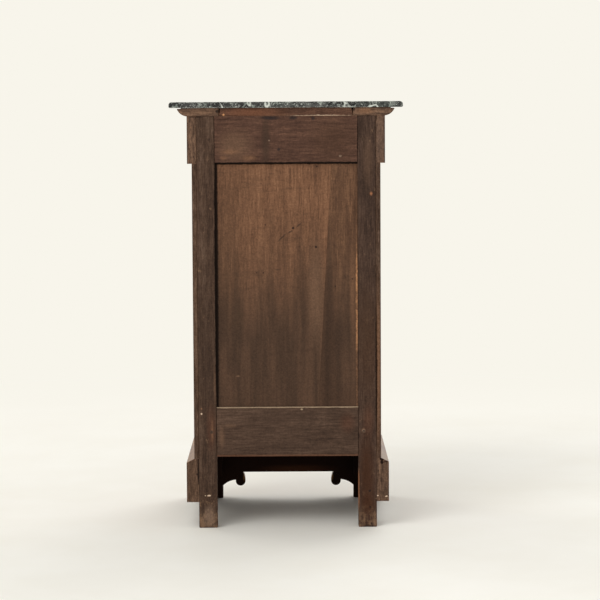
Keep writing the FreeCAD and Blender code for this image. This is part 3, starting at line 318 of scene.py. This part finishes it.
# Marks of each piece, laid over each other in this order; painted shadows and painted highlights among them
# are noted where they stand
MARKS = {
    "rear_stile_right": [
        stain(138, 185, 24, 120, RED_BROWN, 0.55),
        stain(144, 290, 60, 380, SOOT, 0.5),
        stain(136, 176, 7, 60, WARM),
        stain(131, 260, 6, 100, BARE),
        stain(143, 20, 34, 60, GREY_WOOD, 0.65),
        stain(154, 36, 10, 44, SOOT),
        chip(142.5, 59, 8, 3.4),
        chip(149, 59, 3, 2),
        chip(155, 208, 4, 4),
        chip(155, 217, 4, 4, WARM),
        upright(CASE_RIGHT, 2, strength=0.6),
        upright(RIGHT_JOINT, 2, strength=0.6, z=700, high=84),
        upright(RIGHT_JOINT, 2, strength=0.7, z=175, high=90),
        # Painted shadow of this stile on the sunk panel, begun on the stile's own edge
        upright(RIGHT_JOINT, 4, strength=0.97, z=440, high=600),
        stain(144, 1, 36, 6, DARK_SPOT, 0.6),
        # Painted shade under the cornice
        level(FRIEZE_TOP, 5, x=156, wide=12),
        level(FRIEZE_TOP, 3, strength=0.6),
    ],
    "rear_stile_left": [
        stain(-146, 660, 28, 140, BARE, 0.3),
        stain(-144, 330, 60, 340, UMBER, 0.7),
        stain(-146, 195, 30, 80, RUSSET, 0.3),
        stain(-143, 90, 44, 260, DARK_RED, 0.75),
        stain(-145, 42, 40, 60, DARK_RED, 0.6),
        stain(-152, 603, 8, 10, TAN, 0.9),
        chip(-137, 176, 11, 11, BARE),
        hole(-148, 66, 6),
        hole(-149, 36, 5),
        hole(-151, 7, 5),
        # Painted shade under the cornice
        level(FRIEZE_TOP, 3, strength=0.7),
        stain(-146, 2, 40, 8, DARK_SPOT, 0.7),
        upright(CASE_LEFT, 5, strength=0.97, z=280, high=340),
        upright(CASE_LEFT, 2, strength=0.6, z=560, high=400),
        upright(LEFT_JOINT, 3, z=700, high=84),
        upright(LEFT_JOINT, 4, TAN, 0.75, z=68, high=90),
        upright(LEFT_JOINT, 4, DARK_SPOT, 0.9, z=166, high=20),
        # Painted shade along the sunk panel's edge by this stile
        upright(LEFT_JOINT, 4, DARK_SPOT, 0.6, z=390, high=420),
    ],
    "back_top_rail": [
        stain(-84, 700, 130, 130, UMBER, 0.4),
        stain(92, 690, 92, 84, BARE, 0.65),
        stain(100, 679, 48, 14, WARM, 0.6),
        stain(66, 668, 40, 14, WARM, 0.6),
        stain(112, 668, 20, 12, WARM),
        stain(36, 700, 24, 150, SOOT, 0.8),
        blot(28, 739, 46, 10),
        blot(-13, 739, 22, 9),
        blot(-49, 738, 9, 10),
        blot(13, 683, 9, 8),
        chip(30, 699, 4, 3.5, GREY_WOOD),
        chip(-97, 671, 6, 5, GREY_WOOD),
        upright(RIGHT_JOINT, 2, strength=0.5),
        upright(LEFT_JOINT, 3),
        # Painted shadow of the top rail on the panel, begun on the rail's lower edge
        level(RAIL_BASE, 4, strength=0.95),
    ],
    "back_bottom_rail": [
        stain(119, 165, 16, 60, BARE, 0.6),
        stain(104, 186, 36, 10, BARE),
        stain(-40, 208, 32, 8, SOOT, 0.6),
        stain(0, 147, 240, 20, SOOT),
        stain(0, 205, 280, 22, SOOT, 0.4),
        stain(-108, 190, 40, 52, RED_BROWN, 0.4),
        chip(-26, 215, 6, 4, DUST),
        upright(RIGHT_JOINT, 2, strength=0.6),
        upright(LEFT_JOINT, 2, strength=0.6),
        # Painted highlight along the rail's lower edge
        level(LOW_RAIL_BASE, 8, RUSSET, 0.5),
        # Dust and a painted highlight on the rail's upward top edge
        level(LOW_RAIL_TOP, 4, DUST, 0.9),
    ],
    "back_panel_wide_board": [
        stain(108, 480, 88, 460, DULL_BROWN, 0.35),
        stain(84, 600, 110, 150, MIDDLE_BROWN, 0.3),
        stain(81, 348, 90, 70, SOOT, 0.35),
        stain(118, 370, 44, 140, SOOT, 0.45),
        stain(-52, 425, 44, 260, BARE, 0.75),
        stain(100, 304, 32, 80, SOOT),
        stain(85, 377, 36, 68, DULL_BROWN, 0.4),
        stain(16, 467, 18, 5, SOOT, 0.6),
        scratch(8, 525, 30, 42),
        scratch(-7, 535, 14, 30),
        scratch(-22, 547, 18, 38),
        scratch(89, 275, 12, 0, BARE),
        hole(38, 548),
        hole(-12, 542, 6),
        hole(-53, 508, 6),
        hole(-55, 652, 4),
        hole(54, 462),
        hole(42, 462),
        # Painted shadow of the stile and of the top rail on the sunk panel
        upright(RIGHT_JOINT, 13, strength=0.97, z=560),
        level(RAIL_BASE, 7, strength=0.97),
    ],
    "back_panel_narrow_board": [
        stain(-78, 430, 18, 340, SOOT, 0.6),
        stain(-92, 350, 40, 110, SOOT, 0.6),
        stain(-118, 440, 16, 260, WARM, 0.45),
        scratch(-105, 454, 10, -50),
        hole(-118, 450),
        hole(-87, 437, 4),
        stain(-72, 310, 70, 420, DARK_BROWN, 0.62),
        stain(-96, 600, 22, 220, MIDDLE_BROWN, 0.6),
        stain(-98, 238, 80, 70, DARK_BROWN, 0.35),
        # Bared wood and a painted highlight along the panel's edge by the stile
        worn_and_lit_line(LEFT_JOINT + 2, 6, WARM, 0.9, z=380, high=480),
        worn_and_lit_line(LEFT_JOINT + 2, 4, ORANGE, 0.9, z=415, high=250),
        # Painted shadow of the top rail on the sunk panel
        level(RAIL_BASE, 7, strength=0.97),
    ],
    "cornice_rear_strip": [
        stain(60, 749, 160, 26, RUSSET, 0.8),
        # Pale worn edge along the strip's foot, also a painted highlight
        level(FRIEZE_TOP, 4, PALE_WOOD, 0.8, x=-64, wide=140),
        chip(111, 745, 5, 5, ORANGE),
        hole(120, 751, 8),
    ],
    "back_pegs": [
        chip(-137, 176, 6, 6, GREY_WOOD),
        hole(-137.6, 175.6, 4),
    ],
    "cornice_right": [
        stain(152, 750, 84, 16, BARE, 0.45),
        hole(122, 751, 9),
    ],
    "cornice_left": [
        stain(-142, 751, 48, 18, WARM, 0.7),
        hole(-121, 754, 8),
        stain(-155, 753, 14, 6, SOOT, 0.7),
    ],
    "frieze_side_right": [
        chip(170, 723, 3, 3, WARM),
        # Painted shade under the cornice
        level(FRIEZE_TOP, 5, x=167, wide=18),
        hole(165, 670, 4),
        upright(CASE_RIGHT, 2),
        upright(FRIEZE_RIGHT, 5, DARK_SPOT, 0.7),
    ],
    "frieze_side_left": [
        stain(-169, 700, 34, 130, GREY_BROWN, 0.4),
        upright(CASE_LEFT, 3),
        upright(CASE_LEFT, 4, z=738, high=16),
        upright(FRIEZE_LEFT, 5, DARK_SPOT, 0.7),
    ],
    "side_panel_right": [
        stain(164, 400, 14, 700, SCUFF, 0.12),
    ],
    "side_panel_left": [
        stain(-164, 290, 12, 420, WARM, 0.7),
        upright(CASE_LEFT, 4, strength=0.9, z=290, high=300),
    ],
    "plinth_front": [
        # Inside of the apron: a dark red-brown band over the painted shade, and the scrolls' rims rubbed
        # paler with a painted highlight
        stain(-16, 56, 200, 24, DARK_RED, 0.8),
        stain(SCROLL_EDGE, SCROLL_MIDDLE, 8, 24, RUBBED_AND_LIT, 0.9),
        stain(-SCROLL_EDGE, SCROLL_MIDDLE, 8, 24, RUBBED_AND_LIT, 0.9),
    ],
    "plinth_right": [
        stain(172, 85, 44, 130, DULL_BROWN, 0.5),
        hole(164, 98, 5),
        upright(CASE_RIGHT + 1, 4, z=105, high=70),
    ],
    "plinth_left": [
        stain(-172, 62, 18, 16, SOOT, 0.6),
        cavity(-170, 124, 9, 8),
        cavity(-170, 118, 6, 8),
        crack(-177, 119, 12, 3, 15),
        hole(-163, 102),
        chip(-162, 57, 5, 3),
        chip(-178, 56, 6, 3),
    ],
}


class Graph:
    """Nodes of one material, with short calls for the few kinds used here."""

    def __init__(self, name):
        self.material = bpy.data.materials.new(name)
        self.material.use_nodes = True
        tree = self.material.node_tree
        tree.nodes.clear()
        self.nodes, self.links = tree.nodes, tree.links
        self.shader = self.nodes.new("ShaderNodeBsdfPrincipled")
        self.output = self.nodes.new("ShaderNodeOutputMaterial")
        self.links.new(self.shader.outputs["BSDF"], self.output.inputs["Surface"])
        source = self.nodes.new("ShaderNodeTexCoord")
        self.place = source.outputs["Object"]
        self.normal = source.outputs["Normal"]
        board = self.nodes.new("ShaderNodeObjectInfo")
        self.board = self.math("MULTIPLY", board.outputs["Random"], BOARD_SPREAD)

    def put(self, socket, value):
        """Link a socket to another one, or set its value."""
        if isinstance(value, bpy.types.NodeSocket):
            self.links.new(value, socket)
        else:
            socket.default_value = value

    def fill(self, node, values):
        """Put values into a node's inputs by name or number."""
        for name, value in values.items():
            self.put(node.inputs[name], value)

    def surface(self, name, value):
        """Put a value into one of the shader's inputs."""
        self.put(self.shader.inputs[name], value)

    def math(self, operation, *values):
        """Sum, product or the like of numbers."""
        node = self.nodes.new("ShaderNodeMath")
        node.operation = operation
        self.fill(node, dict(enumerate(values)))
        return node.outputs[0]

    def vector(self, operation, *values):
        """The same for vectors."""
        node = self.nodes.new("ShaderNodeVectorMath")
        node.operation = operation
        self.fill(node, dict(enumerate(values)))
        single = operation in ("LENGTH", "DOT_PRODUCT")
        return node.outputs["Value" if single else "Vector"]

    def part(self, vector, axis):
        """One coordinate of a vector."""
        node = self.nodes.new("ShaderNodeSeparateXYZ")
        self.put(node.inputs[0], vector)
        return node.outputs[axis]

    def noise(self, vector, scale=1.0, detail=3.0, roughness=0.6, distortion=0.0, output=0):
        """Noise that differs from board to board; output 1 is a colour."""
        node = self.nodes.new("ShaderNodeTexNoise")
        node.noise_dimensions = "4D"
        self.fill(node, {
            "Vector": vector,
            "W": self.board,
            "Scale": scale,
            "Detail": detail,
            "Roughness": roughness,
            "Distortion": distortion,
        })
        return node.outputs[output]

    def span(self, value, low, high, start=0.0, end=1.0):
        """Smooth step of a value from start at low to end at high."""
        node = self.nodes.new("ShaderNodeMapRange")
        node.interpolation_type = "SMOOTHSTEP"
        self.fill(node, dict(enumerate((value, low, high, start, end))))
        return node.outputs[0]

    def mix(self, share, first, second, blend="MIX"):
        """Blend of two colours."""
        node = self.nodes.new("ShaderNodeMix")
        node.data_type = "RGBA"
        node.blend_type = blend
        self.fill(node, {MIX_SHARE: share, MIX_FIRST: first, MIX_SECOND: second})
        return node.outputs[MIX_RESULT]

    def ramp(self, value, *stops):
        """Colour of a value from two or more stops, each a position and a tone."""
        node = self.nodes.new("ShaderNodeValToRGB")
        elements = node.color_ramp.elements
        for element, (position, paint) in zip((elements[0], elements[1]), (stops[0], stops[-1])):
            element.position = position
            element.color = tone(*paint)
        for position, paint in stops[1:-1]:
            elements.new(position).color = tone(*paint)
        self.put(node.inputs[0], value)
        return node.outputs[0]

    def stretched(self, axis, along, across):
        """Object coordinates in cells of these metres, along the grain and across it."""
        cells = [1 / across] * 3
        cells[axis] = 1 / along
        return self.vector("MULTIPLY", self.place, cells)

    def worn(self, reach):
        """Patchy mask along the edges of a piece."""
        bevel = self.nodes.new("ShaderNodeBevel")
        bevel.samples = WEAR_SAMPLES
        bevel.inputs["Radius"].default_value = reach
        flat = self.nodes.new("ShaderNodeNewGeometry").outputs["Normal"]
        turn = self.vector("DOT_PRODUCT", bevel.outputs[0], flat)
        patch = self.noise(self.place, scale=55, detail=4, roughness=0.65)
        at_edge = self.span(turn, low=0.975, high=0.82)
        return self.math("MULTIPLY", at_edge, self.span(patch, low=0.42, high=0.62))

    def marks(self, colour, rows):
        """Colour with marks on the rear face, their edges shaken a little."""
        wobble = self.noise(self.place, scale=140, output=1)
        shake = self.vector("SUBTRACT", wobble, (NOISE_MIDDLE,) * 3)
        place = self.vector("MULTIPLY_ADD", shake, (MARK_SHAKE,) * 3, self.place)
        patch = self.noise(self.place, scale=110, detail=4, roughness=0.7)
        breaks = self.span(patch, low=0.36, high=0.6, start=0.15)
        for mark in rows:
            node = self.nodes.new("ShaderNodeMapping")
            node.vector_type = "TEXTURE"
            self.fill(node, {
                "Vector": place,
                "Location": (mark.x * MILLIMETRE, 0, mark.z * MILLIMETRE),
                "Rotation": (0, math.radians(mark.turn), 0),
                "Scale": (mark.wide / 2 * MILLIMETRE, LONG, mark.high / 2 * MILLIMETRE),
            })
            reach = self.vector("LENGTH", node.outputs[0])
            cover = self.span(reach, low=1, high=1 - mark.soft, end=mark.strength)
            if mark.ragged:
                cover = self.math("MULTIPLY", cover, breaks)
            colour = self.mix(cover, colour, tone(*mark.paint))
        return colour

    def bump(self, height, strength, distance):
        """Relief of the surface."""
        node = self.nodes.new("ShaderNodeBump")
        self.fill(node, {"Height": height, "Strength": strength, "Distance": distance})
        self.surface("Normal", node.outputs[0])


def grain_axis(name):
    """The grain runs along a board's longest side."""
    low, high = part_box(name)
    sides = high - low
    return max(range(3), key=lambda axis: sides[axis])


def rings(graph, name, axis):
    """Growth rings of a flat-sawn board: long arches along the grain, about the board's middle."""
    low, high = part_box(name)
    sides = high - low
    heart = (low + high) / 2
    heart[min(range(3), key=lambda side: sides[side])] += HEART_DEPTH
    weights = Vector((1, 1, 1))
    weights[axis] = RING_PULL
    away = graph.vector("MULTIPLY", graph.vector("SUBTRACT", graph.place, heart), weights)
    wander = graph.noise(graph.stretched(axis, *WANDER_CELLS))
    reach = graph.math("MULTIPLY_ADD", wander, RING_WANDER, graph.vector("LENGTH", away))
    return graph.math("SINE", graph.math("MULTIPLY", reach, math.tau / RING_SPACING))


def saw_marks(graph, axis):
    """Faint lines of the saw across the grain, from -1 to 1."""
    lines = graph.noise(graph.stretched(axis, *SAW_CELLS), detail=2)
    return graph.math("MULTIPLY_ADD", lines, 2, -1)


def grain(graph, axis, cells):
    """Value from three sizes of noise stretched along the grain, and the finest noise for the surface."""
    value = 0.0
    for (along, across), share in zip(cells, GRAIN_SHARES):
        layer = graph.noise(graph.stretched(axis, along, across))
        value = graph.math("MULTIPLY_ADD", layer, share, value)
    return value, layer


def tinted(graph, value, tones, contrast):
    """Dark, middle and light tones laid about the middle value of the grain."""
    positions = (NOISE_MIDDLE - contrast, NOISE_MIDDLE, NOISE_MIDDLE + contrast)
    return graph.ramp(value, *zip(positions, tones))


def wood(name, axis, tones, cells, figure, contrast=PLAIN_CONTRAST, wear=BARE, relief=WOOD_RELIEF,
         paint=None):
    """Wood with its grain along one axis; figure is added to the grain, and paint changes the colour."""
    graph = Graph(name)
    dark = tone(*tones[0])
    value, fine = grain(graph, axis, cells)
    value = graph.math("MULTIPLY_ADD", figure(graph), contrast * FIGURE_SHARE, value)
    colour = tinted(graph, value, tones, contrast)
    for scale, strength in CLOUDS:
        cloud = graph.noise(graph.place, scale, detail=4)
        colour = graph.mix(graph.span(cloud, low=0.45, high=0.75, end=strength), colour, dark)
    pores = graph.span(graph.noise(graph.stretched(axis, *PORE_CELLS), detail=1), low=0.60, high=0.70)
    colour = graph.mix(graph.math("MULTIPLY", pores, PORE_SHARE), colour, dark, "MULTIPLY")
    colour = graph.mix(graph.math("MULTIPLY", graph.worn(WOOD_WEAR), WEAR_SHARE), colour, tone(*wear))
    if paint:
        colour = paint(graph, colour)
    graph.surface("Base Color", colour)
    graph.surface("Roughness", graph.span(fine, low=0.3, high=0.7, start=0.7, end=0.85))
    graph.surface("Specular IOR Level", DULL_SHINE)
    graph.bump(graph.math("SUBTRACT", fine, pores), *relief)
    return graph


def shine(graph, dull, ends):
    """Shine of each kind, from polished where the mask is empty to dull where it is full."""
    for name, (polished, rough) in ends.items():
        graph.surface(name, graph.span(dull, low=0, high=1, start=polished, end=rough))


def gritty(graph, colour, strength):
    """Fine dirt, alike along the grain and across it."""
    dirt = graph.noise(graph.place, scale=330, roughness=0.7)
    return graph.mix(strength, colour, dirt, "OVERLAY")


def panel_tones(graph, colour):
    """Panel boards: warm at the top, dark and streaky low down, with a faint curl across the grain."""
    streak = graph.noise(graph.stretched(Z, *STREAK_CELLS), detail=4)
    height = graph.math("MULTIPLY_ADD", streak, STREAK_REACH, graph.part(graph.place, Z))
    colour = graph.mix(graph.span(height, *PANEL_FADE), colour, graph.ramp(streak, *PANEL_LOW))
    curl = graph.noise(graph.stretched(Z, *CURL_CELLS), distortion=0.6)
    return graph.mix(graph.span(curl, low=0.5, high=0.72, end=0.25), colour, tone(*SOOT))


def scuffed(graph, colour):
    """Feet: pale scuffs that thin out above the floor."""
    rub = graph.noise(graph.stretched(Z, *SCUFF_CELLS), detail=5, roughness=0.75)
    near = graph.span(graph.part(graph.place, Z), *SCUFF_FADE, end=0.16)
    cover = graph.span(graph.math("ADD", rub, near), low=0.58, high=0.74, end=0.75)
    return graph.mix(cover, colour, tone(*SCUFF))


def behind(graph):
    """Mask of the faces that look backwards."""
    return graph.span(graph.part(graph.normal, Y), *FACING)


def inward(graph):
    """Mask of the faces that look towards the cabinet's middle from either side."""
    outward = graph.math("MULTIPLY", graph.part(graph.normal, X), graph.part(graph.place, X))
    return graph.span(outward, low=-0.05, high=-0.12)


def sloped(graph):
    """Mask of the faces that look upwards, steep ones too."""
    return graph.span(graph.part(graph.normal, Z), low=0.15, high=0.3)


def dust_and_sheen(graph, colour):
    """Patchy dust on the plinth's slope, its pale warm tone also a painted sheen of light on the slope."""
    patch = graph.noise(graph.place, scale=26, detail=5, roughness=0.7)
    dust = graph.span(patch, low=0.38, high=0.68, start=0.1, end=0.65)
    return graph.mix(graph.math("MULTIPLY", sloped(graph), dust), colour, tone(*SLOPE_DUST_AND_SHEEN))


def back_material(name):
    """Dull, dirty wood of the back, with the marks of its board, painted shade and painted highlights among
    them.
    """
    axis = grain_axis(name)

    def figure(graph):
        return saw_marks(graph, axis)

    def paint(graph, colour):
        if name.startswith("back_panel"):
            colour = panel_tones(graph, colour)
        if name.startswith("rear_stile"):
            colour = scuffed(graph, colour)
        colour = gritty(graph, graph.marks(colour, MARKS[name]), BACK_DIRT)
        above = graph.span(graph.part(graph.normal, Z), *FACING, end=0.7)
        return graph.mix(above, colour, tone(*DUST))

    tones = BACK_TONES[name]
    return wood(name, axis, tones, DULL_CELLS, figure, contrast=BACK_CONTRAST, paint=paint).material


def case_material(name):
    """Polished wood in front and at the sides, plain inside but painted near-black as shade inside the
    plinth, raw and marked where it ends at the back.
    """
    axis = grain_axis(name)
    at_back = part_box(name)[1].y > BACK_START
    plinth = name.startswith("plinth")
    end_axis = X if name.startswith("cornice") else Z
    end_tones = BACK_TONES["rear_stile_right"] if name.startswith("side_panel") else RAW_TONES

    def figure(graph):
        return rings(graph, name, axis)

    def plain(graph):
        # The plinth's inside is painted near-black: painted shade under the cabinet
        if plinth:
            return tone(*GRIME_AND_SHADE)
        value, _ = grain(graph, axis, POLISHED_CELLS)
        return tinted(graph, value, HIDDEN_TONES, CASE_CONTRAST)

    def raw_end(graph):
        value, _ = grain(graph, end_axis, END_CELLS)
        return tinted(graph, value, end_tones, PLAIN_CONTRAST)

    def paint(graph, colour):
        inside = rear = plain(graph)
        if plinth:
            colour = dust_and_sheen(graph, colour)
        if at_back:
            colour = graph.mix(inward(graph), colour, inside)
            rear = raw_end(graph)
        if name in MARKS:
            rear = graph.marks(rear, MARKS[name])
        if at_back:
            rear = gritty(graph, rear, END_DIRT)
        return graph.mix(behind(graph), colour, rear)

    graph = wood(name, axis, CASE_TONES, POLISHED_CELLS, figure,
                 contrast=CASE_CONTRAST, wear=CASE_WEAR, relief=CASE_RELIEF, paint=paint)
    dull = behind(graph)
    if at_back:
        dull = graph.math("MAXIMUM", dull, inward(graph))
    if plinth:
        dull = graph.math("MAXIMUM", dull, graph.math("MULTIPLY", sloped(graph), SLOPE_DULLNESS))
    shine(graph, dull, CASE_SHINE)
    graph.surface("Coat Roughness", COAT_ROUGHNESS)
    return graph.material


def inner_material(axis):
    """Raw inside wood; feet and undersides near the floor are painted dark as painted shade."""
    def figure(graph):
        return saw_marks(graph, axis)

    def paint(graph, colour):
        # Painted shade near the floor on the inside wood
        near = graph.span(graph.part(graph.place, Z), *FLOOR_SHADE_FADE)
        return graph.mix(near, colour, tone(*GRIME_AND_SHADE))

    name = "inner_wood_" + "xyz"[axis]
    return wood(name, axis, INNER_TONES, POLISHED_CELLS, figure, wear=INNER_WEAR, paint=paint).material


def marble_material():
    """Green-black marble with white veins, polished but for its sawn rear edge."""
    graph = Graph("marble")
    graph.place = graph.vector("ADD", graph.place, MARBLE_CUT)
    bend = graph.noise(graph.place, scale=9, detail=4, output=1)
    warped = graph.vector("MULTIPLY_ADD", bend, (MARBLE_BEND,) * 3, graph.place)
    mottle = graph.noise(warped, scale=38, detail=5, roughness=0.65)
    polished = graph.ramp(mottle, *zip(MARBLE_STOPS, POLISHED_MARBLE))
    rough = graph.ramp(mottle, *zip(MARBLE_STOPS, SAWN_MARBLE))
    sawn = graph.span(graph.part(graph.normal, Y), low=0.5, high=0.9)
    colour = graph.mix(sawn, polished, rough)
    cloud = graph.noise(warped, scale=6, detail=4)
    colour = graph.mix(graph.span(cloud, low=0.5, high=0.7, end=0.35), colour, tone(*MARBLE_CLOUD))
    for scale, width, strength, paint in VEINS:
        away = graph.math("SUBTRACT", graph.noise(warped, scale), NOISE_MIDDLE)
        swell = graph.span(graph.noise(graph.place, scale * 2), low=0.35, high=0.7, start=-width, end=width)
        thread = graph.math("SUBTRACT", graph.math("ABSOLUTE", away), swell)
        colour = graph.mix(graph.span(thread, low=width, high=0, end=strength), colour, tone(*paint))
    speck = graph.span(graph.noise(graph.place, scale=260, detail=2), low=0.66, high=0.74, end=0.75)
    colour = graph.mix(speck, colour, tone(*WHITE_SPECK))
    fleck = graph.noise(graph.place, scale=300, roughness=0.7)
    for low, high, paint in FLECKS:
        cover = graph.math("MULTIPLY", graph.span(fleck, low, high, end=0.7), sawn)
        colour = graph.mix(cover, colour, tone(*paint))
    colour = graph.mix(graph.math("MULTIPLY", graph.worn(STONE_WEAR), sawn), colour, tone(*CHIPPED_MARBLE))
    graph.surface("Base Color", colour)
    shine(graph, sawn, MARBLE_SHINE)
    grit = graph.noise(graph.place, scale=400, detail=4, roughness=0.7)
    graph.bump(graph.math("MULTIPLY", grit, sawn), *MARBLE_RELIEF)
    return graph.material


def metal_material(name, bright, dull, roughness):
    """Aged metal: duller in patches."""
    graph = Graph(name)
    patch = graph.noise(graph.place, scale=120, detail=5, roughness=0.65)
    graph.surface("Base Color", graph.ramp(patch, (0.35, dull), (0.62, bright)))
    graph.surface("Roughness", graph.span(patch, 0.3, 0.7, *roughness))
    graph.surface("Metallic", 1.0)
    graph.bump(graph.noise(graph.place, scale=900), *METAL_RELIEF)
    return graph.material


def dress(piece, material):
    """Give a piece one material."""
    piece.data.materials.clear()
    piece.data.materials.append(material)


def soften(piece, width):
    """Rounded edges from modifiers, on welded faces; the mesh itself stays as it is."""
    piece.modifiers.new("weld", "WELD").merge_threshold = WELD_REACH
    bevel = piece.modifiers.new("soft edges", "BEVEL")
    bevel.width = width
    bevel.segments = EDGE_SEGMENTS
    bevel.limit_method = "ANGLE"
    bevel.angle_limit = math.radians(EDGE_ANGLE)
    bevel.miter_outer = "MITER_ARC"
    piece.modifiers.new("normals", "WEIGHTED_NORMAL")


def dress_all():
    """Give every piece its material and soft edges."""
    shared = {
        "marble": marble_material(),
        "brass": metal_material("brass", *BRASS),
        "iron": metal_material("iron", *IRON),
    }
    inner = [inner_material(axis) for axis in range(3)]
    for name, piece in nodes.items():
        slot = slots[name]
        if slot == "back_wood":
            material = back_material(name)
        elif slot == "case_wood":
            material = case_material(name)
        elif slot == "inner_wood":
            material = inner[grain_axis(name)]
        else:
            material = shared[slot]
        dress(piece, material)
        soften(piece, FITTING_ROUND if slot in ("brass", "iron") else EDGE_ROUND)


def background():
    """Pale surround that the camera, gloss and glass see; a plain softer light for the rest."""
    world = bpy.data.worlds.new("studio")
    world.use_nodes = True
    bpy.context.scene.world = world
    tree = world.node_tree
    tree.nodes.clear()
    output = tree.nodes.new("ShaderNodeOutputWorld")
    ray = tree.nodes.new("ShaderNodeLightPath")
    seen = ray.outputs["Is Camera Ray"]
    for name in ("Is Glossy Ray", "Is Transmission Ray"):
        either = tree.nodes.new("ShaderNodeMath")
        either.operation = "MAXIMUM"
        tree.links.new(seen, either.inputs[0])
        tree.links.new(ray.outputs[name], either.inputs[1])
        seen = either.outputs[0]
    choice = tree.nodes.new("ShaderNodeMixShader")
    tree.links.new(seen, choice.inputs[0])
    for index, colour, strength in ((1, AMBIENT_COLOUR, AMBIENT), (2, tone(*BACKGROUND_TONE), 1.0)):
        light = tree.nodes.new("ShaderNodeBackground")
        light.inputs["Color"].default_value = colour
        light.inputs["Strength"].default_value = strength
        tree.links.new(light.outputs[0], choice.inputs[index])
    tree.links.new(choice.outputs[0], output.inputs["Surface"])


def floor():
    """Plain pale floor that fades into the background far from the cabinet."""
    bpy.ops.mesh.primitive_circle_add(
        vertices=FLOOR_SIDES, radius=FLOOR_RADIUS, fill_type="NGON", location=(0, 0, 0))
    piece = bpy.context.object
    piece.name = "floor"
    graph = Graph("floor")
    patch = graph.noise(graph.place, scale=3, detail=5)
    graph.surface("Base Color", graph.ramp(patch, *zip(FLOOR_STOPS, FLOOR_TONES)))
    graph.surface("Roughness", FLOOR_ROUGHNESS)
    graph.surface("Specular IOR Level", FLOOR_SHINE)
    glow = graph.nodes.new("ShaderNodeEmission")
    glow.inputs["Color"].default_value = tone(*BACKGROUND_TONE)
    choice = graph.nodes.new("ShaderNodeMixShader")
    graph.put(choice.inputs[0], graph.span(graph.vector("LENGTH", graph.place), *FLOOR_FADE))
    graph.links.new(graph.shader.outputs[0], choice.inputs[1])
    graph.links.new(glow.outputs[0], choice.inputs[2])
    graph.links.new(choice.outputs[0], graph.output.inputs["Surface"])
    dress(piece, graph.material)


def lights():
    """Round soft lamps turned to the cabinet; gloss doesn't show the low ones."""
    for name, (place, size, power) in LAMPS.items():
        data = bpy.data.lights.new(name, "AREA")
        data.shape = "DISK"
        data.size = size
        data.energy = power
        piece = bpy.data.objects.new(name, data)
        piece.location = place
        piece.rotation_mode = "QUATERNION"
        piece.rotation_quaternion = (Vector(LAMP_TARGET) - Vector(place)).to_track_quat("-Z", "Y")
        piece.visible_glossy = not name.startswith("low")
        bpy.context.scene.collection.objects.link(piece)


def camera():
    """Camera that looks forwards from behind, turned by its yaw, pitch and roll."""
    yaw, pitch, roll = (math.radians(angle) for angle in (CAMERA_YAW, CAMERA_PITCH, CAMERA_ROLL))
    right = Vector((-math.cos(yaw), -math.sin(yaw), 0))
    ahead = Vector((math.sin(yaw), -math.cos(yaw), 0))
    upward = Vector((0, 0, 1))
    view = ahead * math.cos(pitch) - upward * math.sin(pitch)
    up = upward * math.cos(pitch) + ahead * math.sin(pitch)
    rolled_right = right * math.cos(roll) + up * math.sin(roll)
    rolled_up = up * math.cos(roll) - right * math.sin(roll)
    data = bpy.data.cameras.new("camera")
    data.sensor_width = SENSOR_WIDTH
    data.lens = FOCAL_PIXELS / PICTURE_SIZE * SENSOR_WIDTH
    data.clip_end = CAMERA_REACH
    piece = bpy.data.objects.new("camera", data)
    turn = Matrix((rolled_right, rolled_up, -view)).transposed()
    piece.matrix_world = Matrix.Translation(CAMERA_PLACE) @ turn.to_4x4()
    bpy.context.scene.collection.objects.link(piece)
    bpy.context.scene.camera = piece


dress_all()
background()
floor()
lights()
camera()
bpy.context.scene.view_settings.view_transform = "Standard"
